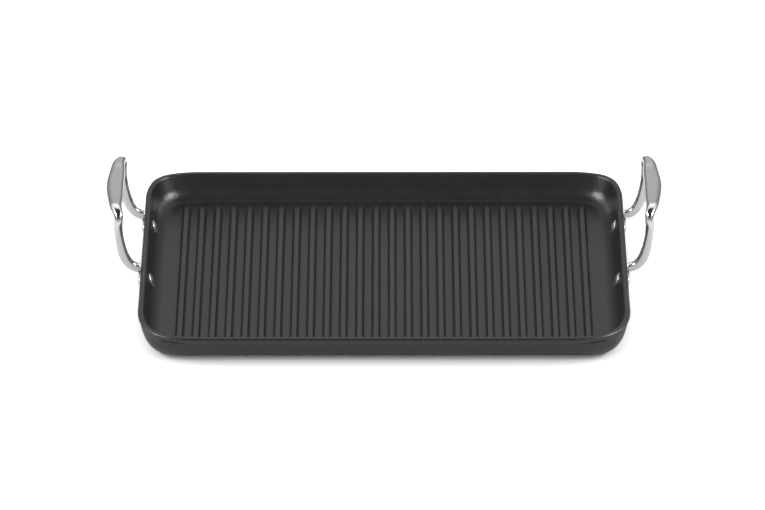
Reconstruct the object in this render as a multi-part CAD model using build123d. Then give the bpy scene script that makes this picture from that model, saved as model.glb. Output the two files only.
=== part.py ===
from build123d import *
from math import cos, radians, sin, sqrt, tan
import os

# A rectangular ridged grill pan with two riveted loop handles.
# Millimetres. +X runs along the pan from handle to handle, +Y to the back, +Z up.
# The origin is the centre of the flat underside, on the surface that the pan stands on.

# Tray
RIM_LENGTH = 350.0  # over the rim, along X
RIM_WIDTH = 250.0  # over the rim, along Y
RIM_CORNER = 24.0  # plan radius in the middle of each corner of the rim
RIM_EASE = 70.0  # larger radius that leads from a straight side into a corner
RIM_EASE_TURN = 17.0  # degrees turned by each of those two arcs
WALL_CORNER = 27.0  # the same three for the outer wall, which is rounder at its corners
WALL_EASE = 60.0
WALL_EASE_TURN = 14.0
PAN_HEIGHT = 22.0  # underside to the top of the rim
FLOOR_THICKNESS = 4.0
WALL_DRAFT = 15.5  # degrees that the walls lean out
RIM_BAND = 4.2  # width of the rim's flat top
LIP_HEIGHT = 4.7  # height of the rim's outer face
LIP_BAND = 1.6  # the upper part of that face, which is upright
LIP_DRAFT = 22.0  # degrees that the lower part leans in
LIP_OVERHANG = 1.7  # from the rim's outline in to the wall at the lip's lower edge
LIP_ROUND = 1.3  # round on the rim's outer top edge
RIM_INNER_ROUND = 0.9
COVE_RADIUS = 11.0  # inside, from the floor up into the wall
BASE_RADIUS = 19.0  # outside, from the underside up into the wall

# Ribs
RIB_COUNT = 26
RIB_SIDE_MARGIN = 30.6  # from the rim's end to the middle of the first rib
RIB_END_MARGIN = 27.5  # from the rim's side to the end of a rib's top
RIB_TOP_WIDTH = 3.5
RIB_HEIGHT = 3.5
RIB_DRAFT = 20.0  # degrees
RIB_BEVEL = 0.5  # on the edges of a rib's top

# Handles
HANDLE_SHIFT = 18.0  # how far the handles sit behind the middle of the pan
HANDLE_SPREAD = 79.0  # between the two legs of a handle, and between its rivets
HANDLE_HEIGHT = 49.5  # top of the grip above the rim
HANDLE_REACH = 25.2  # furthest point of the grip beyond the rim
GRIP_INNER_REACH = 12.3  # inner edge of the grip beyond the rim
GRIP_END_WIDTH = 5.4  # the grip narrows to this at each end
GRIP_OVERRUN = 4.5  # how far the grip's ends stand past each leg
GRIP_THICKNESS = 6.0
GRIP_CORNER = 5.5  # bend from a leg into the grip
LEG_WIDTH = 5.8  # seen along the pan's side
LEG_THICKNESS = 5.0
LEG_ROOT_HEIGHT = 5.6
LEG_ROOT_DEPTH = 0.0  # middle of the leg below the rim's top, where it leaves the wall
STRAP_EDGE_ROUND = 1.5
ROOT_BLEND_END = 0.3  # share of the handle's height at which a leg has its full section
GRIP_BLEND_START = 0.5  # the shares between which the leg's section becomes the grip's
GRIP_BLEND_END = 0.9
FOOT_WIDTH = 14.0
FOOT_THICKNESS = 2.6
NECK_WIDTH = 6.0  # joins the foot to the leg, round the outside of the lip
NECK_THICKNESS = 3.0

# Rivets
RIVET_SHANK = 6.0
RIVET_HEAD = 10.0
RIVET_INNER_RISE = 1.2
RIVET_OUTER_RISE = 2.8
RIVET_DEPTH = 10.0  # middle of the rivet below the rim's top, on the inner wall

# Clearances
SHANK_CLEARANCE = 0.1  # all round the shank
SEAT_CLEARANCE = 0.3  # all round a rivet's inner head, where its seat cuts into the cove
LIP_CLEARANCE = 0.2  # between a handle and the rim's lip
HEAD_CLEARANCE = 0.3  # above a rivet's outer head, to the neck

SLOPE = tan(radians(WALL_DRAFT))
WALL_NORMAL = (cos(radians(WALL_DRAFT)), -sin(radians(WALL_DRAFT)))
HALF_LENGTH = RIM_LENGTH / 2
FLOOR_DEPTH = PAN_HEIGHT - FLOOR_THICKNESS
RIB_PITCH = (RIM_LENGTH - 2 * RIB_SIDE_MARGIN) / (RIB_COUNT - 1)
RIB_LENGTH = RIM_WIDTH - 2 * RIB_END_MARGIN
RIM_SHAPE = (RIM_CORNER, RIM_EASE, RIM_EASE_TURN)
WALL_SHAPE = (WALL_CORNER, WALL_EASE, WALL_EASE_TURN)


def outline(inset, shape=RIM_SHAPE):
    """A plan outline that is drawn in from the rim's sides by the same amount all round.

    Each corner is three arcs that run into each other: easy, tight, easy.
    """
    tight, ease, turn_degrees = shape[0] - inset, shape[1] - inset, shape[2]
    turn = radians(turn_degrees)
    reach = ease * (sin(turn) + 1 - cos(turn)) + tight * (cos(turn) - sin(turn))
    half_x = RIM_LENGTH / 2 - inset
    half_y = RIM_WIDTH / 2 - inset
    with BuildLine() as line:
        at = (half_x, -half_y + reach)
        for heading, length in ((90, half_y), (180, half_x), (270, half_y), (0, half_x)):
            way = Vector(1, 0).rotate(Axis.Z, heading)
            side = Line(at, Vector(*at) + way * 2 * (length - reach))
            first = JernArc(side @ 1, side % 1, ease, turn_degrees)
            middle = JernArc(first @ 1, first % 1, tight, 90 - 2 * turn_degrees)
            last = JernArc(middle @ 1, middle % 1, ease, turn_degrees)
            at = last @ 1
    return make_face(line.line)


def block(inset, top, height, taper=0.0, shape=RIM_SHAPE):
    """A solid that hangs down from a level, on the outline drawn in by inset."""
    plan = Pos(0, 0, top) * outline(inset, shape)
    return extrude(plan, amount=height, dir=(0, 0, -1), taper=taper)


def edges_at(solid, level):
    """Edges that lie wholly in one level plane."""
    return solid.edges().filter_by_position(Axis.Z, level - 1e-4, level + 1e-4)


def outer_inset(depth):
    """How far the outer wall is drawn in from the rim's outline, at a depth below the rim's top."""
    return LIP_OVERHANG + (depth - LIP_HEIGHT) * SLOPE


def inner_inset(depth):
    """The same for the inner wall."""
    return RIM_BAND + depth * SLOPE


def tray_outside(gap=0.0):
    """The tray filled in: drafted wall, rounded base, and a lip that is grown by a gap."""
    start = LIP_HEIGHT / 2
    height = PAN_HEIGHT - start
    wall = block(outer_inset(start), height, height, WALL_DRAFT, WALL_SHAPE)
    wall = fillet(edges_at(wall, 0), BASE_RADIUS)
    lip = block(-gap, PAN_HEIGHT + gap, LIP_BAND + gap)
    lip = fillet(edges_at(lip, PAN_HEIGHT + gap), LIP_ROUND)
    lip = lip + block(-gap, PAN_HEIGHT - LIP_BAND, LIP_HEIGHT - LIP_BAND + gap, LIP_DRAFT)
    return wall + lip


def cavity():
    """The cooking space, from the rim down to the floor."""
    space = block(RIM_BAND, PAN_HEIGHT, FLOOR_DEPTH, WALL_DRAFT)
    space = fillet(edges_at(space, FLOOR_THICKNESS), COVE_RADIUS)
    mouth_size = RIM_BAND - RIM_INNER_ROUND
    mouth = block(mouth_size, PAN_HEIGHT, RIM_INNER_ROUND, 45)
    return space + mouth


def ribs():
    """Raised bars with drafted sides and bevelled tops, evenly spaced along the pan."""
    spread = 2 * RIB_HEIGHT * tan(radians(RIB_DRAFT))
    foot = Rectangle(RIB_TOP_WIDTH + spread, RIB_LENGTH + spread)
    rib = extrude(foot, amount=RIB_HEIGHT, taper=RIB_DRAFT)
    rib = chamfer(edges_at(rib, RIB_HEIGHT), RIB_BEVEL)
    first = -RIB_PITCH * (RIB_COUNT - 1) / 2
    return [Pos(first + RIB_PITCH * k, 0, FLOOR_THICKNESS) * rib for k in range(RIB_COUNT)]


def wall_frame(side, y):
    """A frame on the inner wall at a rivet, whose Z axis points out through the wall."""
    x = HALF_LENGTH - inner_inset(RIVET_DEPTH)
    return Plane(
        origin=(side * x, y, PAN_HEIGHT - RIVET_DEPTH),
        x_dir=(0, 1, 0),
        z_dir=(side * WALL_NORMAL[0], 0, WALL_NORMAL[1]),
    )


# Metal between the inner and the outer wall, square to both
WALL_THICKNESS = (inner_inset(0) - outer_inset(0)) * WALL_NORMAL[0]
LEG_PLACES = {
    "front": HANDLE_SHIFT - HANDLE_SPREAD / 2,
    "back": HANDLE_SHIFT + HANDLE_SPREAD / 2,
}


def shank_hole(side, y):
    """The drilled hole for one rivet, through the wall and the foot."""
    depth = WALL_THICKNESS + FOOT_THICKNESS
    hole = Cylinder(RIVET_SHANK / 2 + SHANK_CLEARANCE, 3 * depth)
    return wall_frame(side, y) * hole


def rivet_seat(side, y):
    """A spot face round a rivet's inner head, which levels the cove with the straight wall."""
    top = (Align.CENTER, Align.CENTER, Align.MAX)
    radius = RIVET_HEAD / 2 + SEAT_CLEARANCE
    return wall_frame(side, y) * Cylinder(radius, 2 * RIVET_INNER_RISE, align=top)


def pan_body():
    """The tray: outside less the cooking space, with ribs, rivet seats and rivet holes."""
    tray = tray_outside() - cavity() + ribs()
    for side in (-1, 1):
        for y in LEG_PLACES.values():
            tray = tray - rivet_seat(side, y) - shank_hole(side, y)
    return tray


def dome(rise):
    """A low rivet head: a slice of a ball that stands on the XY plane, with a thin straight edge."""
    edge = rise / 4
    rise = rise - edge
    half = RIVET_HEAD / 2
    ball = (half * half + rise * rise) / (2 * rise)
    head = Pos(0, 0, edge + rise - ball) * Sphere(ball)
    return head & Cylinder(half, edge + rise, align=(Align.CENTER, Align.CENTER, Align.MIN))


def rivet(side, y):
    """Low head inside, shank through wall and foot, fuller head outside on the foot."""
    grip = WALL_THICKNESS + FOOT_THICKNESS
    bottom = (Align.CENTER, Align.CENTER, Align.MIN)
    shank = Cylinder(RIVET_SHANK / 2, grip, align=bottom)
    inner = Rot(180, 0, 0) * dome(RIVET_INNER_RISE)
    outer = Pos(0, 0, grip) * dome(RIVET_OUTER_RISE)
    return wall_frame(side, y) * (shank + inner + outer)


def grip_width(share):
    """Width of the strap in plan, at a share of the way from the grip's middle to its end."""
    bulge = max(0.0, 1 - share * share)
    return GRIP_END_WIDTH + (HANDLE_REACH - GRIP_INNER_REACH - GRIP_END_WIDTH) * bulge


def handle_stations():
    """Points on the right handle's middle line, from the front foot round to the back foot."""
    root = PAN_HEIGHT - LEG_ROOT_DEPTH
    top = PAN_HEIGHT + HANDLE_HEIGHT - GRIP_THICKNESS / 2
    half = HANDLE_SPREAD / 2
    end = half + GRIP_OVERRUN - LEG_THICKNESS / 2
    rise = top - GRIP_CORNER - root
    lean = end - half
    # Share of the leg's rise, and reach beyond the rim
    leg = ((-0.04, -3.5), (0.00, 1.2), (0.08, 6.1), (0.23, 10.0), (0.49, 13.0), (0.77, 14.7))
    front = [(reach, half + lean * max(0.0, share), root + rise * share) for share, reach in leg]
    bend = GRIP_CORNER * (1 - sqrt(0.5))
    middle = GRIP_INNER_REACH + GRIP_END_WIDTH / 2
    front.append((middle, end, top - GRIP_CORNER))
    front.append((middle, end - bend, top - bend))
    half_grip = end + LEG_THICKNESS / 2
    for share in ((end - GRIP_CORNER) / half_grip, 0.5):
        reach = GRIP_INNER_REACH + grip_width(share) / 2
        front.append((reach, share * half_grip, top))
    crown = [(GRIP_INNER_REACH + grip_width(0) / 2, 0, top)]
    back = list(reversed(front))
    front = [(x, -y, z) for x, y, z in front]
    return [Vector(HALF_LENGTH + x, HANDLE_SHIFT + y, z) for x, y, z in front + crown + back]


def strap_section(at, way):
    """The strap's section at a point, with its broad side turned to the outside of the loop."""
    inwards = Vector(0, way.Z, -way.Y)
    across = inwards.cross(way).normalized()
    share = min(1.0, abs(at.Y - HANDLE_SHIFT) / (HANDLE_SPREAD / 2 + GRIP_OVERRUN))
    level = (at.Z - PAN_HEIGHT + LEG_ROOT_DEPTH) / HANDLE_HEIGHT
    low = max(0.0, 1 - level / ROOT_BLEND_END)
    high = (level - GRIP_BLEND_START) / (GRIP_BLEND_END - GRIP_BLEND_START)
    high = max(0.0, min(1.0, high))
    leg_wide = LEG_WIDTH + (LEG_ROOT_HEIGHT - LEG_WIDTH) * low
    wide = leg_wide + (grip_width(share) - leg_wide) * high
    thick = LEG_THICKNESS + (GRIP_THICKNESS - LEG_THICKNESS) * high
    frame = Plane(origin=at, x_dir=across, z_dir=way)
    return frame * RectangleRounded(wide, thick, STRAP_EDGE_ROUND)


def strap():
    """The bent strap: sections lofted along a smooth line through the stations."""
    stations = handle_stations()
    path = Spline(*stations)
    ways = [path.tangent_at(path.param_at_point(at)) for at in stations]
    return loft([strap_section(at, way) for at, way in zip(stations, ways)])


def foot(y):
    """A tongue on the outer wall, round at its lower end, with a neck up past the rim's lip."""
    on_wall = wall_frame(1, y).offset(WALL_THICKNESS)
    lip_level = (RIVET_DEPTH - LIP_HEIGHT) / WALL_NORMAL[0]
    rim_level = RIVET_DEPTH / WALL_NORMAL[0]
    neck_start = RIVET_HEAD / 2 + HEAD_CLEARANCE
    neck_height = rim_level - neck_start
    tongue = Circle(FOOT_WIDTH / 2) + Pos(0, lip_level / 2) * Rectangle(FOOT_WIDTH, lip_level)
    neck = Pos(0, neck_start + neck_height / 2) * Rectangle(NECK_WIDTH, neck_height)
    plate = extrude(on_wall * tongue, amount=FOOT_THICKNESS)
    return plate + extrude(on_wall * neck, amount=NECK_THICKNESS)


def right_handle():
    """Strap and feet in one piece, cut back to the wall and clear of the lip, and drilled."""
    handle = strap()
    for y in LEG_PLACES.values():
        handle = handle + foot(y)
    above_rim = block(-LIP_CLEARANCE, PAN_HEIGHT + LEG_ROOT_HEIGHT, LEG_ROOT_HEIGHT)
    handle = handle - tray_outside(LIP_CLEARANCE) - above_rim
    for y in LEG_PLACES.values():
        handle = handle - shank_hole(1, y)
    return handle


def write(name, solid):
    solid.label = name
    export_step(solid, os.path.join("parts", name + ".step"))


if __name__ == "__main__":
    os.makedirs("parts", exist_ok=True)
    write("pan_body", pan_body())
    handle = right_handle()
    write("handle_right", handle)
    write("handle_left", mirror(handle, about=Plane.YZ))
    for side_name, side in (("left", -1), ("right", 1)):
        for place, y in LEG_PLACES.items():
            write(f"rivet_{side_name}_{place}", rivet(side, y))
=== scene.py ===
import math

import bmesh
import bpy
import numpy as np
from mathutils import Matrix, Vector


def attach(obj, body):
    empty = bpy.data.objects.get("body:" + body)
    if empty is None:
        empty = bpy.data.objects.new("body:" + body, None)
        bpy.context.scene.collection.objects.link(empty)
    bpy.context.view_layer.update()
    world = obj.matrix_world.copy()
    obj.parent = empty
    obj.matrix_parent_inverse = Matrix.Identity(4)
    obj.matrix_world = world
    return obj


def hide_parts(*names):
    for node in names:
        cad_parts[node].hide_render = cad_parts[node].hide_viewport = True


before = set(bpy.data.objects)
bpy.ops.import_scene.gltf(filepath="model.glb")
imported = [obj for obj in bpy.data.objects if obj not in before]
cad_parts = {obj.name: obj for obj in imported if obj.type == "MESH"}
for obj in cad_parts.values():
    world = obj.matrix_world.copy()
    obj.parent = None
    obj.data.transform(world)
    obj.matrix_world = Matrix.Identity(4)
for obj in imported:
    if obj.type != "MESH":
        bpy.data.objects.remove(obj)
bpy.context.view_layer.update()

MM = 0.001  # every length below is in millimetres and becomes metres in the mesh

# Tray: the solids' sizes, except where a comment says otherwise
RIM_HALF = (175.0, 125.0)
PAN_HEIGHT = 22.0
FLOOR_TOP = 4.0
RIM_SHAPE = (24.0, 70.0, math.radians(17))  # tight radius, easy radius, turn of the easy arcs
WALL_SHAPE = (27.0, 60.0, math.radians(14))
WALL_DRAFT = math.radians(15.5)
WALL_SLOPE = math.tan(WALL_DRAFT)
RIM_BAND = 4.2
LIP_HEIGHT = 4.7
LIP_BAND = 1.6
LIP_LEAN = 1.4  # how far the lip's lower edge stands in from the rim, less than in the solids
LIP_OVERHANG = 1.7
# The scene's corners follow the photograph: the tight arcs are easier in front, tighter behind
CORNER_EXTRA = (-2.0, -2.0, 6.0, 6.0)
COVE_CORNER_EXTRA = 7.0  # inside, the corners get easier towards the floor
BASE_CORNER_LESS = 5.0  # outside, they get tighter towards the base
COVE_ROUND = 11.0
BASE_ROUND = 19.0
MARGIN_INSET = 18.5  # the plain floor starts this far in from the rim, the underside at the next
UNDER_INSET = 22.0
TOP_EDGE_ROUNDS = (1.4, 1.5)  # inner and outer edge of the rim
SKIN = 0.02  # the dressed surfaces stay this far inside the solids' box

# Ribs
RIB_COUNT = 26
RIB_PITCH = 11.63  # 11.552 in the solids: the photograph has them slightly wider
RIB_DRAFT = math.radians(20)
RIB_FLARE = (1.2, 1.3)  # width and radius of the flare at a rib's foot
RIB_TOP_ROUND = 0.75
RIB_SUNK = 0.5  # how deep a rib's grid goes into the floor
RIB_TOP_HALF = 1.75
RIB_HEIGHT = 3.5
RIB_END = 97.5

# Handles
HANDLE_SHIFT = 18.0
LEG_OFFSET = 39.5
HANDLE_HEIGHT = 49.5
GRIP_INNER_REACH = 12.3
GRIP_MIDDLE_WIDTH = 12.9
GRIP_END_WIDTH = 5.4
GRIP_REACH = (47.0, 44.0)  # middle to front and back; the solids have 44 at both
GRIP_THICKNESS = 6.0
GRIP_CORNER = (7.5, 5.5)  # radius of the bend at the front and the back; the solids have 5.5
LEG_WIDTH = 5.8
LEG_THICKNESS = 5.0
EDGE_ROUND = 1.5
# The leg's middle line: share of the way up, and how far out from the rim
LEG_LINE = ((0.0, 0.4), (0.015, 2.6), (0.07, 6.6), (0.21, 10.6), (0.47, 13.5), (0.76, 14.9))
GRIP_ROUND = 2.7  # the solids have the edge round all along
LEG_SWELL = 1.1  # extra width of the lower leg
GRIP_CROWN = 0.5  # how far the grip's faces fall off towards their edges
LIP_GAP = 0.2

# Rivets
RIVET_DEPTH = 10.0
RIVET_SHANK = 3.0
RIVET_HEAD = 5.0
SEAT_RADIUS = 5.3
INNER_RISE = 2.3  # 1.2 in the solids
OUTER_RISE = 2.8
FOOT_THICKNESS = 2.6
FOOT_HALF = 7.0
NECK_HALF = 3.0
NECK_THICKNESS = 3.0

# Stage, in metres
RIM_PIXEL = (384.1, 253.1)  # where the middle of the rim falls in the picture
EAST, NORTH, UPWARDS = (1, 0, 0), (0, 1, 0), (0, 0, 1)
GLINT = 50.0  # strength of the narrow cards that only reflections see
FLOOR_IN_METAL = 0.2  # how much of the floor's extra white the metal shows

WALL_NORMAL = np.array([math.cos(WALL_DRAFT), 0.0, -math.sin(WALL_DRAFT)])
WALL_THICKNESS = (RIM_BAND - LIP_OVERHANG + LIP_HEIGHT * WALL_SLOPE) * WALL_NORMAL[0]


def unit(angle):
    """Unit vectors in the plane at the given angles."""
    return np.stack([np.cos(angle), np.sin(angle)], axis=-1)


def corner_reach(inset, shape):
    """How far a corner with a tight arc between two easy ones reaches along each side."""
    first = shape[2]
    easy = (shape[1] - inset) * (math.sin(first) + 1 - math.cos(first))
    return easy + (shape[0] - inset) * (math.cos(first) - math.sin(first))


def side_and_corner(half_x, half_y, inset, shape, share, turn, before):
    """One straight side and the corner after it, at many insets at once.

    The side runs along +Y at x = half_x - inset, from the end of the corner before it. In the
    corner the outward direction turns through the angle turn, and the point is the sum of each
    arc's radius times the change of the unit vector over the part of that turn which the arc
    covers.
    """
    tight = shape[0] - inset
    easy = shape[1] - inset
    first = shape[2]
    last = math.pi / 2 - first
    x = half_x - inset
    y = half_y - inset - corner_reach(inset, shape)
    start = corner_reach(inset, before) - (half_y - inset)
    along = start[None, :] + share[:, None] * (y - start)[None, :]
    straight = np.stack([np.broadcast_to(x, along.shape), along], axis=-1)
    arcs = np.stack([x, y], axis=-1)[None]
    for low, high, radius in ((0.0, first, easy), (first, last, tight), (last, math.pi / 2, easy)):
        swept = unit(np.clip(turn, low, high)) - unit(np.array(low))
        arcs = arcs + radius[None, :, None] * swept[:, None, :]
    return np.concatenate([straight, arcs], axis=0)


def outline(half, inset, shape, shares, turn, extra=(0.0, 0.0, 0.0, 0.0)):
    """The whole plan outline, side by side, each turned a quarter on from the one before."""
    sides = []
    for quarter in range(4):
        flip = quarter % 2
        own = (shape[0] + extra[quarter], shape[1], shape[2])
        before = (shape[0] + extra[quarter - 1], shape[1], shape[2])
        points = side_and_corner(half[flip], half[1 - flip], inset, own, shares[flip], turn, before)
        c, s = round(math.cos(quarter * math.pi / 2)), round(math.sin(quarter * math.pi / 2))
        sides.append(points @ np.array([[c, s], [-s, c]]))
    return np.concatenate(sides, axis=0)


def rounded_line(corners, steps):
    """A line through corner points (a, b, radius), each corner rounded by an arc.

    The arc starts and ends radius times the tangent of half the turn from the corner and is
    sampled at even turns; where the radius is nought the corner stays sharp.
    """
    places = np.array([c[:2] for c in corners], float)
    out = [places[:1]]
    for k in range(1, len(corners) - 1):
        before = places[k - 1] - places[k]
        after = places[k + 1] - places[k]
        before = before / np.linalg.norm(before)
        after = after / np.linalg.norm(after)
        opening = math.acos(float(np.clip(before @ after, -1, 1)))
        radius = corners[k][2]
        if radius == 0:
            out.append(places[k : k + 1])
            continue
        middle = before + after
        middle = middle / np.linalg.norm(middle)
        centre = places[k] + middle * radius / math.sin(opening / 2)
        spread = math.pi - opening
        angle = np.linspace(-spread / 2, spread / 2, steps[k])[:, None]
        side = after - middle * (after @ middle)
        side = side / np.linalg.norm(side)
        out.append(centre - radius * (np.cos(angle) * middle - np.sin(angle) * side))
    out.append(places[-1:])
    return np.concatenate(out, axis=0)


def filled(line, longest):
    """The same line with extra points so that no step is longer than the given length."""
    steps = np.linalg.norm(np.diff(line, axis=0), axis=1)
    counts = np.maximum(1, np.ceil(steps / longest)).astype(int)
    place = np.concatenate([k + np.arange(n) / n for k, n in enumerate(counts)] + [[len(steps)]])
    index = np.arange(len(line))
    return np.stack([np.interp(place, index, line[:, a]) for a in range(line.shape[1])], axis=-1)


def quads(rows, columns, wrap_rows, wrap_columns, start=0):
    """Corner numbers of the faces of a grid of points, in the order row by row."""
    i = np.arange(rows if wrap_rows else rows - 1)[:, None]
    j = np.arange(columns if wrap_columns else columns - 1)[None, :]
    i_next = (i + 1) % rows
    j_next = (j + 1) % columns
    ring = (i * columns + j, i * columns + j_next, i_next * columns + j_next, i_next * columns + j)
    faces = np.stack([np.broadcast_to(r, (i.size, j.size)) for r in ring], axis=-1)
    return faces.reshape(-1, 4) + start


def make_piece(name, grids, material, node):
    """One object from several point grids, each (points, wrap_rows, wrap_columns)."""
    points, faces, start = [], [], 0
    for grid, wrap_rows, wrap_columns in grids:
        rows, columns = grid.shape[:2]
        points.append(grid.reshape(-1, 3))
        faces.append(quads(rows, columns, wrap_rows, wrap_columns, start))
        start += rows * columns
    points = np.concatenate(points) * MM
    faces = np.concatenate(faces)
    mesh = bpy.data.meshes.new(name)
    mesh.vertices.add(len(points))
    mesh.vertices.foreach_set("co", points.astype(np.float32).ravel())
    mesh.loops.add(faces.size)
    mesh.loops.foreach_set("vertex_index", faces.astype(np.int32).ravel())
    mesh.polygons.add(len(faces))
    mesh.polygons.foreach_set("loop_start", np.arange(0, faces.size, 4, dtype=np.int32))
    mesh.update(calc_edges=True)
    shell = bmesh.new()
    shell.from_mesh(mesh)
    bmesh.ops.remove_doubles(shell, verts=shell.verts, dist=2e-6)
    bmesh.ops.dissolve_degenerate(shell, edges=shell.edges, dist=1e-7)
    bmesh.ops.recalc_face_normals(shell, faces=shell.faces)
    shell.to_mesh(mesh)
    shell.free()
    mesh.polygons.foreach_set("use_smooth", np.ones(len(mesh.polygons), bool))
    mesh.materials.append(material)
    piece = bpy.data.objects.new(name, mesh)
    bpy.context.scene.collection.objects.link(piece)
    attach(piece, "root")
    if node:
        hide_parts(node)
    return piece


def inner_inset(depth):
    """How far the inner wall stands in from the rim's outline at a depth below the rim."""
    return RIM_BAND + depth * WALL_SLOPE


def outer_inset(depth):
    """The same for the outer wall."""
    return LIP_OVERHANG + (depth - LIP_HEIGHT) * WALL_SLOPE


def rivet_centres(side):
    """Where the rivets' axes cross the inner wall on one side, and the direction outwards."""
    x = side * (RIM_HALF[0] - inner_inset(RIVET_DEPTH))
    z = PAN_HEIGHT - RIVET_DEPTH
    normal = WALL_NORMAL * np.array([side, 1, 1])
    places = [np.array([x, HANDLE_SHIFT + s * LEG_OFFSET, z]) for s in (-1, 1)]
    return places, normal


def tray_grid():
    """The tray: a closed profile carried round the rim's outline.

    The profile starts in the middle of the floor, runs up the rounded cove and the leaning wall,
    over the flat rim and its rounds, down the lip and the outer wall, and back under the base.
    Inside, the outline is that of the rim; below the lip it is that of the wall.
    """
    floor_corner = inner_inset(PAN_HEIGHT - FLOOR_TOP)
    base_corner = outer_inset(PAN_HEIGHT)
    lip_bottom = PAN_HEIGHT - LIP_HEIGHT
    inner = rounded_line(
        [
            (MARGIN_INSET, FLOOR_TOP, 0),
            (floor_corner, FLOOR_TOP, COVE_ROUND),
            (RIM_BAND, PAN_HEIGHT - SKIN, TOP_EDGE_ROUNDS[0]),
            (SKIN, PAN_HEIGHT - SKIN, TOP_EDGE_ROUNDS[1]),
            (SKIN, PAN_HEIGHT - LIP_BAND - 0.1, 0.4),
            (LIP_LEAN, lip_bottom, 0.3),
            (LIP_OVERHANG, lip_bottom, 0),
        ],
        (0, 26, 6, 9, 3, 4, 0),
    )
    outer = rounded_line(
        [
            (LIP_OVERHANG, lip_bottom, 0),
            (LIP_OVERHANG, lip_bottom - 0.01, 0),
            (base_corner, 0.0, BASE_ROUND),
            (UNDER_INSET, 0.0, 0),
        ],
        (0, 0, 26, 0),
    )
    inner = filled(inner, 1.0)
    outer = filled(outer, 1.5)
    half = RIM_HALF
    cluster = np.linspace(-8.5, 8.5, 35)
    across = 86.3
    shares = [np.linspace(0, 1, 41)]
    for y in (HANDLE_SHIFT - LEG_OFFSET, HANDLE_SHIFT + LEG_OFFSET):
        for mirror in (-1, 1):
            shares.append((mirror * y + cluster) / (2 * across) + 0.5)
    long_share = np.unique(np.round(np.concatenate(shares), 6))
    shares = (long_share, np.linspace(0, 1, 30))
    turn = np.linspace(0, math.pi / 2, 31)[1:]
    deep = np.clip((PAN_HEIGHT - inner[:, 1]) / (PAN_HEIGHT - FLOOR_TOP), 0, 1)
    deep = deep * (inner[:, 0] > RIM_BAND)
    rim_shape = (RIM_SHAPE[0] + COVE_CORNER_EXTRA * deep, RIM_SHAPE[1], RIM_SHAPE[2])
    low = np.clip(1 - outer[:, 1] / (PAN_HEIGHT - LIP_HEIGHT), 0, 1)
    wall_shape = (WALL_SHAPE[0] - BASE_CORNER_LESS * low, WALL_SHAPE[1], WALL_SHAPE[2])
    top = outline(half, inner[:, 0], rim_shape, shares, turn, CORNER_EXTRA)
    extra = np.array(CORNER_EXTRA)[:, None] * (0.7 - 0.6 * low)[None, :]
    under = outline(half, outer[:, 0], wall_shape, shares, turn, extra)
    plan = np.concatenate([top, under], axis=1)
    height = np.concatenate([inner[:, 1], outer[:, 1]])
    level = np.broadcast_to(height[None, :, None], plan.shape[:2] + (1,))
    points = np.concatenate([plan, level], axis=-1)
    shrink = np.array([0.0, 0.25, 0.5, 0.75, 0.9])
    middle_top = points[:, :1] * np.array([1, 1, 1.0])
    middle_top = np.repeat(middle_top, len(shrink), axis=1)
    middle_top[..., :2] = middle_top[..., :2] * shrink[None, :, None]
    middle_under = np.repeat(points[:, -1:], len(shrink), axis=1)
    middle_under[..., :2] = middle_under[..., :2] * shrink[::-1][None, :, None]
    points = np.concatenate([middle_top, points, middle_under], axis=1)
    inside = np.zeros(points.shape[1], bool)
    inside[len(shrink) : len(shrink) + len(inner) // 2] = True
    for side in (-1, 1):
        places, normal = rivet_centres(side)
        for place in places:
            away = points - place
            depth = away @ normal
            radial = np.linalg.norm(away - depth[..., None] * normal, axis=-1)
            mask = np.clip((SEAT_RADIUS + 0.3 - radial) / 0.3, 0, 1) * inside[None, :]
            mask = mask * (np.abs(depth) < 3)
            points = points - (depth * mask)[..., None] * normal
    return points


def rib_grids():
    """The ribs: a closed profile carried round each rib's long, narrow plan.

    The profile runs from the middle underneath out to a foot that flares into the floor, up the
    leaning side, over a rounded edge and in along the flat top to the middle line.
    """
    spread = RIB_HEIGHT * math.tan(RIB_DRAFT)
    foot = RIB_TOP_HALF + spread
    profile = rounded_line(
        [
            (foot - 0.001, -RIB_SUNK, 0),
            (-RIB_FLARE[0], -RIB_SUNK, 0),
            (-RIB_FLARE[0], -0.08, 0),
            (0.0, 0.0, RIB_FLARE[1]),
            (spread, RIB_HEIGHT, RIB_TOP_ROUND),
            (foot - 0.001, RIB_HEIGHT, 0),
        ],
        (0, 0, 0, 5, 6, 0),
    )
    half = (foot, RIB_END + spread)
    shape = (1.7, 1.7, math.radians(1))
    inset = profile[:, 0]
    shares = (np.linspace(0, 1, 15), np.linspace(0, 1, 4))
    turn = np.linspace(0, math.pi / 2, 7)[1:]
    radius = np.maximum(shape[0] - inset, 0.001) + inset
    plan = outline(half, inset, (radius, radius, shape[2]), shares, turn)
    height = np.broadcast_to((profile[:, 1] + FLOOR_TOP)[None, :, None], plan.shape[:2] + (1,))
    rib = np.concatenate([plan, height], axis=-1)
    first = -RIB_PITCH * (RIB_COUNT - 1) / 2
    return [rib + np.array([first + RIB_PITCH * k, 0, 0]) for k in range(RIB_COUNT)]


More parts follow.
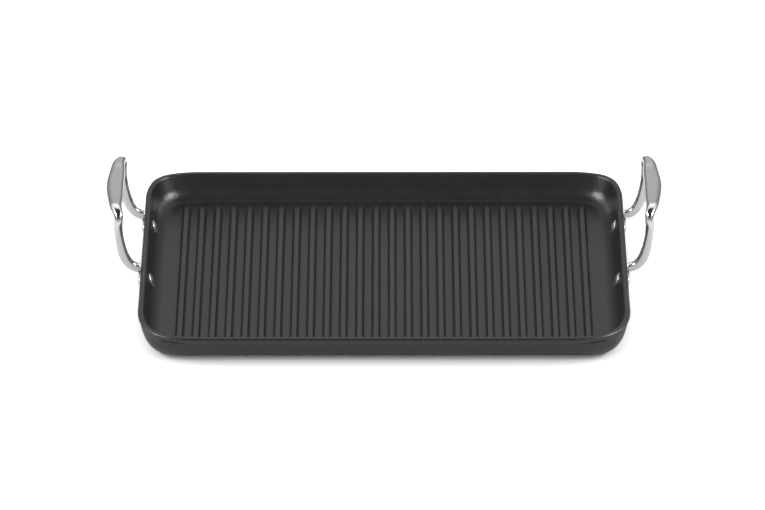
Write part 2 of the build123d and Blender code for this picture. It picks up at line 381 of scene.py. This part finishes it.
def natural_curve(stations, count):
    """A smooth line through the stations: a cubic in the length of the chords, with free ends.

    The slopes of the slopes at the stations come from the usual band of equations.
    """
    place = np.concatenate([[0], np.cumsum(np.linalg.norm(np.diff(stations, axis=0), axis=1))])
    step = np.diff(place)
    n = len(stations)
    band = np.eye(n)
    right = np.zeros_like(stations)
    k = np.arange(1, n - 1)
    band[k, k - 1] = step[:-1]
    band[k, k] = 2 * (step[:-1] + step[1:])
    band[k, k + 1] = step[1:]
    slopes = np.diff(stations, axis=0) / step[:, None]
    right[1:-1] = 6 * (slopes[1:] - slopes[:-1])
    bend = np.linalg.solve(band, right)
    share = np.linspace(0, n - 1, count)
    cell = np.minimum(share.astype(int), n - 2)
    h = step[cell][:, None]
    b = (share - cell)[:, None]
    a = 1 - b
    points = a * stations[cell] + b * stations[cell + 1]
    return points + ((a**3 - a) * bend[cell] + (b**3 - b) * bend[cell + 1]) * h**2 / 6


def handle_half(grip_reach, corner):
    """Stations on the handle's middle line, from a foot up, round the bend and on to the middle."""
    root = PAN_HEIGHT
    top = PAN_HEIGHT + HANDLE_HEIGHT - GRIP_THICKNESS / 2
    end = grip_reach - LEG_THICKNESS / 2
    rise = top - corner - root
    lean = end - LEG_OFFSET
    line = [(reach, LEG_OFFSET + lean * share, root + rise * share) for share, reach in LEG_LINE]
    bend = corner * (1 - math.sqrt(0.5))
    middle = GRIP_INNER_REACH + GRIP_END_WIDTH / 2
    line.append((middle, end, top - corner))
    line.append((middle, end - bend, top - bend))
    for share in ((end - corner) / grip_reach, 0.5):
        line.append((GRIP_INNER_REACH + grip_width(share) / 2, share * grip_reach, top))
    return line


def handle_line():
    """Points on the right handle's middle line, from the front foot round to the back foot."""
    top = PAN_HEIGHT + HANDLE_HEIGHT - GRIP_THICKNESS / 2
    front = [(x, -y, z) for x, y, z in handle_half(GRIP_REACH[0], GRIP_CORNER[0])]
    crown = [(GRIP_INNER_REACH + grip_width(0.0) / 2, 0.0, top)]
    back = handle_half(GRIP_REACH[1], GRIP_CORNER[1])[::-1]
    return np.array(front + crown + back) + np.array([RIM_HALF[0], HANDLE_SHIFT, 0])


def grip_width(share):
    """Width of the grip in plan: a parabola from the middle to its end."""
    return GRIP_END_WIDTH + (GRIP_MIDDLE_WIDTH - GRIP_END_WIDTH) * np.maximum(0.0, 1 - share**2)


def rounded_section(wide, thick, radius, count):
    """Rounded rectangles, one for each width and thickness, all with the same corner steps."""
    turn = np.linspace(0, math.pi / 2, count)
    angles = np.concatenate([turn + q * math.pi / 2 for q in range(4)])
    quarter = np.repeat(np.arange(4), count)
    sign = np.array([(1, 1), (-1, 1), (-1, -1), (1, -1)])[quarter]
    core = np.stack([wide / 2 - radius, thick / 2 - radius], axis=-1)
    return sign[None] * core[:, None, :] + radius[:, None, None] * unit(angles)[None]


def strap_grid(side):
    """The bent strap: a rounded section carried along the handle's middle line.

    Across the strap is square to the line and to the inside of the loop; the width is the
    grip's along the top and the leg's below, and the ends are closed to a point.
    """
    line = natural_curve(handle_line(), 301)
    way = np.gradient(line, axis=0)
    way = way / np.linalg.norm(way, axis=1, keepdims=True)
    inwards = np.stack([np.zeros(len(way)), way[:, 2], -way[:, 1]], axis=-1)
    across = np.cross(inwards, way)
    across = across / np.linalg.norm(across, axis=1, keepdims=True)
    through = np.cross(way, across)
    level = (line[:, 2] - PAN_HEIGHT) / HANDLE_HEIGHT
    low = np.clip(1 - level / 0.3, 0, 1)
    high = np.clip((level - 0.5) / 0.4, 0, 1)
    along = line[:, 1] - HANDLE_SHIFT
    share = np.minimum(1.0, np.abs(along) / np.where(along < 0, *GRIP_REACH))
    wide = LEG_WIDTH + (grip_width(share) - LEG_WIDTH) * high - 0.2 * low
    wide = wide + LEG_SWELL * np.clip(1 - np.abs(level - 0.22) / 0.4, 0, 1)
    thick = LEG_THICKNESS + (GRIP_THICKNESS - LEG_THICKNESS) * high
    radius = EDGE_ROUND + (GRIP_ROUND - EDGE_ROUND) * high
    section = rounded_section(wide, thick, radius, 8)
    fall = GRIP_CROWN * high[:, None] * (section[..., 0] / (wide[:, None] / 2)) ** 2
    section[..., 1] = section[..., 1] * (1 - fall / (thick[:, None] / 2))
    points = line[:, None] + section[..., :1] * across[:, None]
    points = points + section[..., 1:] * through[:, None]
    points[..., 0] = np.maximum(points[..., 0], RIM_HALF[0] + LIP_GAP)
    ends = points.mean(axis=1, keepdims=True)
    tips = [np.broadcast_to(end, points[:1].shape) for end in (ends[:1], ends[-1:])]
    points = np.concatenate([tips[0], points, tips[1]])
    return points * np.array([side, 1, 1])


def wall_axes(side):
    """Along the pan's side, up the wall, and out through it."""
    normal = WALL_NORMAL * np.array([side, 1, 1])
    along = np.array([0.0, 1.0, 0.0])
    up = np.array([-normal[2] * side, 0.0, WALL_NORMAL[0]])
    return along, up, normal


def foot_grids(side):
    """Feet: a tongue with a round lower end on the outer wall, and a neck up past the lip.

    Each is a flat outline, raised from the wall by its thickness and rounded over at the edge,
    with the outline drawn in to the middle at the bottom and the top.
    """
    places = rivet_centres(side)[0]
    along, up, normal = wall_axes(side)
    grids = []
    lip_level = (RIVET_DEPTH - LIP_HEIGHT) / WALL_NORMAL[0] - 0.1
    rim_level = RIVET_DEPTH / WALL_NORMAL[0]
    for place in places:
        turn = np.linspace(math.pi, 2 * math.pi, 25)
        round_end = unit(turn) * FOOT_HALF
        square_end = np.array([[FOOT_HALF, lip_level], [-FOOT_HALF, lip_level]])
        tongue = np.concatenate([round_end, square_end])
        centre = np.array([0.0, 0.5])
        neck_low = RIVET_HEAD + 0.3
        neck = np.array([[-1, neck_low], [1, neck_low], [1, rim_level], [-1, rim_level]], float)
        neck[:, 0] *= NECK_HALF
        neck_centre = neck.mean(axis=0)
        plates = ((tongue, centre, FOOT_THICKNESS), (neck, neck_centre, NECK_THICKNESS))
        for plan, middle, height in plates:
            plan = filled(np.concatenate([plan, plan[:1]]), 1.0)[:-1]
            rise = rounded_line(
                [(1.0, 0.05, 0), (0.0, 0.05, 0), (0.0, height, 0.6), (1.0, height, 0)], (0, 0, 5, 0)
            )
            inset = np.where(np.abs(rise[:, 0] - 1.0) < 1e-6, 1.0, rise[:, 0] / FOOT_HALF)
            flat = middle + (plan[:, None] - middle) * (1 - inset)[None, :, None]
            out = WALL_THICKNESS + rise[:, 1]
            grids.append(
                place + flat[..., :1] * along + flat[..., 1:] * up + out[None, :, None] * normal
            )
    return grids


def rivet_grid(side, index):
    """A rivet: a profile turned about its axis, from the inner dome over the shank to the outer."""
    places = rivet_centres(side)[0]
    along, up, normal = wall_axes(side)
    grip = WALL_THICKNESS + FOOT_THICKNESS

    def cap(rise):
        edge = rise / 4
        crown = rise - edge
        ball = (RIVET_HEAD**2 + crown**2) / (2 * crown)
        radius = np.linspace(0, RIVET_HEAD - 0.12, 12)
        height = edge + crown - ball + np.sqrt(ball**2 - radius**2)
        radius = np.append(radius, [RIVET_HEAD - 0.02, RIVET_HEAD])
        height = np.append(height, [edge + 0.0, edge - 0.12])
        return radius, height

    inner_radius, inner_height = cap(INNER_RISE)
    outer_radius, outer_height = cap(OUTER_RISE)
    shank = [RIVET_HEAD, RIVET_SHANK, RIVET_SHANK, RIVET_HEAD]
    radius = np.concatenate([inner_radius, shank, outer_radius[::-1]])
    height = np.concatenate([-inner_height, [0, 0], [grip, grip], grip + outer_height[::-1]])
    turn = np.linspace(0, 2 * math.pi, 49)[:-1]
    ring = unit(turn)[:, None, :] * radius[None, :, None]
    place = places[index]
    return place + ring[..., :1] * along + ring[..., 1:] * up + height[None, :, None] * normal


# Materials


def new_material(name):
    """An empty material with a Principled shader, and its parts."""
    material = bpy.data.materials.new(name)
    material.use_nodes = True
    tree = material.node_tree
    shader = next(n for n in tree.nodes if n.type == "BSDF_PRINCIPLED")
    return material, tree, shader


def grain_group():
    """Uneven grain: noise at two sizes gives a mask for colour and a height for relief."""
    tree = bpy.data.node_groups.new("uneven_grain", "ShaderNodeTree")
    for name, default in (("Coarse", 60.0), ("Fine", 900.0), ("Stretch", 1.0)):
        socket = tree.interface.new_socket(name, in_out="INPUT", socket_type="NodeSocketFloat")
        socket.default_value = default
    tree.interface.new_socket("Mask", in_out="OUTPUT", socket_type="NodeSocketFloat")
    tree.interface.new_socket("Relief", in_out="OUTPUT", socket_type="NodeSocketFloat")
    nodes, links = tree.nodes, tree.links
    inputs = nodes.new("NodeGroupInput")
    outputs = nodes.new("NodeGroupOutput")
    place = nodes.new("ShaderNodeTexCoord")
    scale = nodes.new("ShaderNodeCombineXYZ")
    scale.inputs["X"].default_value = 1.0
    scale.inputs["Z"].default_value = 1.0
    links.new(inputs.outputs["Stretch"], scale.inputs["Y"])
    moved = nodes.new("ShaderNodeVectorMath")
    moved.operation = "MULTIPLY"
    links.new(place.outputs["Object"], moved.inputs[0])
    links.new(scale.outputs[0], moved.inputs[1])
    coarse = nodes.new("ShaderNodeTexNoise")
    coarse.inputs["Detail"].default_value = 4.0
    fine = nodes.new("ShaderNodeTexNoise")
    fine.inputs["Detail"].default_value = 3.0
    links.new(moved.outputs[0], coarse.inputs["Vector"])
    links.new(moved.outputs[0], fine.inputs["Vector"])
    links.new(inputs.outputs["Coarse"], coarse.inputs["Scale"])
    links.new(inputs.outputs["Fine"], fine.inputs["Scale"])
    both = nodes.new("ShaderNodeMath")
    both.operation = "MULTIPLY_ADD"
    both.inputs[1].default_value = 0.5
    half = nodes.new("ShaderNodeMath")
    half.operation = "MULTIPLY"
    half.inputs[1].default_value = 0.5
    links.new(fine.outputs["Fac"], half.inputs[0])
    links.new(coarse.outputs["Fac"], both.inputs[0])
    links.new(half.outputs[0], both.inputs[2])
    links.new(both.outputs[0], outputs.inputs["Mask"])
    links.new(fine.outputs["Fac"], outputs.inputs["Relief"])
    return tree


def dressed(name, grain, colours, roughness, metallic, coarse, fine, stretch, relief, depth):
    """A material whose colour and roughness run between two values with the grain's mask."""
    material, tree, shader = new_material(name)
    nodes, links = tree.nodes, tree.links
    node = nodes.new("ShaderNodeGroup")
    node.node_tree = grain
    node.inputs["Coarse"].default_value = coarse
    node.inputs["Fine"].default_value = fine
    node.inputs["Stretch"].default_value = stretch
    colour = nodes.new("ShaderNodeMix")
    colour.data_type = "RGBA"
    colour.inputs["A"].default_value = (*colours[0], 1)
    colour.inputs["B"].default_value = (*colours[1], 1)
    links.new(node.outputs["Mask"], colour.inputs["Factor"])
    links.new(colour.outputs["Result"], shader.inputs["Base Color"])
    rough = nodes.new("ShaderNodeMapRange")
    rough.inputs["To Min"].default_value = roughness[0]
    rough.inputs["To Max"].default_value = roughness[1]
    links.new(node.outputs["Mask"], rough.inputs["Value"])
    links.new(rough.outputs[0], shader.inputs["Roughness"])
    bump = nodes.new("ShaderNodeBump")
    bump.inputs["Strength"].default_value = relief
    bump.inputs["Distance"].default_value = depth
    links.new(node.outputs["Relief"], bump.inputs["Height"])
    links.new(bump.outputs[0], shader.inputs["Normal"])
    shader.inputs["Metallic"].default_value = metallic
    return material


def build_materials():
    """The coating, the polished steel of the handles and the steel of the rivets."""
    grain = grain_group()
    coating = dressed(
        "pan_coating", grain, ((0.009, 0.009, 0.0094), (0.019, 0.019, 0.0195)), (0.26, 0.42), 0.0,
        90.0, 1100.0, 0.4, 0.8, 0.00024,
    )
    steel = dressed(
        "handle_steel", grain, ((0.62, 0.62, 0.63), (0.72, 0.72, 0.73)), (0.08, 0.20), 1.0,
        70.0, 1800.0, 1.0, 0.05, 0.00002,
    )
    rivet = dressed(
        "rivet_steel", grain, ((0.60, 0.60, 0.61), (0.70, 0.70, 0.71)), (0.20, 0.32), 1.0,
        90.0, 1800.0, 1.0, 0.05, 0.00002,
    )
    return coating, steel, rivet


def card(name, centre, half, along, up, shade):
    """A flat card of one grey that only reflections see: a grid of points on two directions."""
    material = bpy.data.materials.new(name)
    material.use_nodes = True
    tree = material.node_tree
    tree.nodes.clear()
    out = tree.nodes.new("ShaderNodeOutputMaterial")
    glow = tree.nodes.new("ShaderNodeEmission")
    glow.inputs["Strength"].default_value = shade
    tree.links.new(glow.outputs[0], out.inputs[0])
    steps = [np.linspace(-reach, reach, 3) for reach in half]
    u, v = np.meshgrid(*steps, indexing="ij")
    points = np.array(centre) + u[..., None] * np.array(along) + v[..., None] * np.array(up)
    mesh = bpy.data.meshes.new(name)
    mesh.from_pydata(points.reshape(-1, 3).tolist(), [], quads(3, 3, False, False).tolist())
    mesh.materials.append(material)
    sheet = bpy.data.objects.new(name, mesh)
    sheet.visible_camera = False
    sheet.visible_diffuse = False
    sheet.visible_shadow = False
    bpy.context.scene.collection.objects.link(sheet)


def background_rays(tree, mix, glossy_share):
    """White background for camera and transmission rays, and a share of it for glossy ones."""
    path = tree.nodes.new("ShaderNodeLightPath")
    glossy = tree.nodes.new("ShaderNodeMath")
    glossy.operation = "MULTIPLY_ADD"
    glossy.inputs[1].default_value = glossy_share
    total = tree.nodes.new("ShaderNodeMath")
    total.use_clamp = True
    tree.links.new(path.outputs["Is Glossy Ray"], glossy.inputs[0])
    tree.links.new(path.outputs["Is Camera Ray"], glossy.inputs[2])
    tree.links.new(glossy.outputs[0], total.inputs[0])
    tree.links.new(path.outputs["Is Transmission Ray"], total.inputs[1])
    tree.links.new(total.outputs[0], mix.inputs[0])


def build_stage():
    """World, floor, softboxes and dark cards."""
    world = bpy.data.worlds.new("studio")
    bpy.context.scene.world = world
    world.use_nodes = True
    tree = world.node_tree
    tree.nodes.clear()
    out = tree.nodes.new("ShaderNodeOutputWorld")
    mix = tree.nodes.new("ShaderNodeMixShader")
    light = tree.nodes.new("ShaderNodeBackground")
    light.inputs["Color"].default_value = (1, 1, 1, 1)
    light.inputs["Strength"].default_value = 0.85
    seen = tree.nodes.new("ShaderNodeBackground")
    seen.inputs["Color"].default_value = (1, 1, 1, 1)
    seen.inputs["Strength"].default_value = 1.0
    background_rays(tree, mix, 1.0)
    tree.links.new(light.outputs[0], mix.inputs[1])
    tree.links.new(seen.outputs[0], mix.inputs[2])
    tree.links.new(mix.outputs[0], out.inputs[0])

    material = bpy.data.materials.new("white_floor")
    material.use_nodes = True
    tree = material.node_tree
    tree.nodes.clear()
    out = tree.nodes.new("ShaderNodeOutputMaterial")
    diffuse = tree.nodes.new("ShaderNodeBsdfDiffuse")
    diffuse.inputs["Color"].default_value = (0.8, 0.8, 0.8, 1)
    lift = tree.nodes.new("ShaderNodeBsdfDiffuse")
    lift.inputs["Color"].default_value = (0.62, 0.62, 0.62, 1)
    both = tree.nodes.new("ShaderNodeAddShader")
    mix = tree.nodes.new("ShaderNodeMixShader")
    background_rays(tree, mix, FLOOR_IN_METAL)
    tree.links.new(diffuse.outputs[0], both.inputs[0])
    tree.links.new(lift.outputs[0], both.inputs[1])
    tree.links.new(diffuse.outputs[0], mix.inputs[1])
    tree.links.new(both.outputs[0], mix.inputs[2])
    tree.links.new(mix.outputs[0], out.inputs[0])
    edge = np.linspace(-6, 6, 5)
    grid = np.stack(np.meshgrid(edge, edge, indexing="ij"), axis=-1)
    grid = np.concatenate([grid, np.zeros(grid.shape[:2] + (1,))], axis=-1)
    mesh = bpy.data.meshes.new("floor")
    faces = quads(5, 5, False, False)[:, ::-1]
    mesh.from_pydata(grid.reshape(-1, 3).tolist(), [], faces.tolist())
    mesh.materials.append(material)
    floor = bpy.data.objects.new("floor", mesh)
    bpy.context.scene.collection.objects.link(floor)

    card("ceiling_card", (0.0, -0.9, 2.0), (1.6, 1.9), EAST, NORTH, 0.05)
    card("front_card", (0.0, -2.9, 1.6), (2.2, 0.65), EAST, UPWARDS, 0.1)
    card("front_strip", (0.0, -2.9, 0.55), (2.2, 0.4), EAST, UPWARDS, 0.6)
    card("back_card", (0.0, 3.0, 1.3), (0.66, 0.95), EAST, UPWARDS, 0.58)
    for side, name in ((-1, "left"), (1, "right")):
        card("back_card_" + name, (side * 2.08, 3.0, 1.3), (1.42, 0.95), EAST, UPWARDS, 0.36)
    card("horizon_card", (0.0, 2.98, 0.27), (3.5, 0.24), EAST, UPWARDS, 0.04)
    card("back_softbox", (0.0, 3.0, 3.3), (1.6, 0.85), EAST, UPWARDS, 1.5)

    for side, name in ((-1, "left"), (1, "right")):
        card("flag_" + name, (side * 3.3, 0.0, 0.62), (3.0, 0.6), NORTH, UPWARDS, 0.08)
        slant = (-0.6 * side, 0, 0.8)
        card("glint_" + name, (side * 1.6, -0.3, 1.28), (0.8, 0.1), NORTH, slant, GLINT)

    for name, place, size, power in (
        ("softbox_left", (-1.5, -0.35, 1.2), (1.3, 0.2), 10.0),
        ("softbox_right", (1.5, -0.35, 1.2), (1.3, 0.2), 10.0),
    ):
        lamp = bpy.data.lights.new(name, "AREA")
        lamp.shape = "RECTANGLE"
        lamp.size, lamp.size_y = size
        lamp.energy = power
        holder = bpy.data.objects.new(name, lamp)
        holder.location = place
        holder.rotation_euler = (-Vector(place)).to_track_quat("-Z", "Y").to_euler()
        bpy.context.scene.collection.objects.link(holder)


def build_camera():
    """A long lens that looks down on the pan, slightly rolled."""
    elevation, yaw, roll = math.radians(29.084), math.radians(0.09), math.radians(-0.09)
    pixels, width, height, distance = 6200.0, 765, 510, 4.475
    level = math.cos(elevation)
    forward = Vector((-math.sin(yaw) * level, math.cos(yaw) * level, -math.sin(elevation)))
    right = Vector((math.cos(yaw), math.sin(yaw), 0))
    up = right.cross(forward)
    c, s = math.cos(roll), math.sin(roll)
    right, up = right * c + up * s, up * c - right * s
    aim = ((RIM_PIXEL[0] - width / 2) / pixels, -(RIM_PIXEL[1] - height / 2) / pixels)
    spot = right * aim[0] * distance + up * aim[1] * distance + forward * distance
    place = Vector((0, 0, PAN_HEIGHT * MM)) - spot
    camera = bpy.data.cameras.new("camera")
    camera.sensor_width = 36.0
    camera.lens = pixels / width * 36.0
    camera.clip_end = 50.0
    holder = bpy.data.objects.new("camera", camera)
    turn = Matrix((right, up, -forward)).transposed().to_4x4()
    holder.matrix_world = Matrix.Translation(place) @ turn
    bpy.context.scene.collection.objects.link(holder)
    bpy.context.scene.camera = holder


coating, steel, rivet_metal = build_materials()
tray = make_piece(
    "coated_tray",
    [(grid, True, False) for grid in [tray_grid()] + rib_grids()],
    coating,
    "pan_body",
)
for side, name in ((-1, "left"), (1, "right")):
    grids = [(strap_grid(side), False, True)] + [(g, True, False) for g in foot_grids(side)]
    handle = make_piece("steel_handle_" + name, grids, steel, "handle_" + name)
    for index, place in enumerate(("front", "back")):
        rivet = make_piece(
            f"steel_rivet_{name}_{place}",
            [(rivet_grid(side, index), True, False)],
            rivet_metal,
            f"rivet_{name}_{place}",
        )

build_stage()
build_camera()
bpy.context.scene.view_settings.view_transform = "Standard"
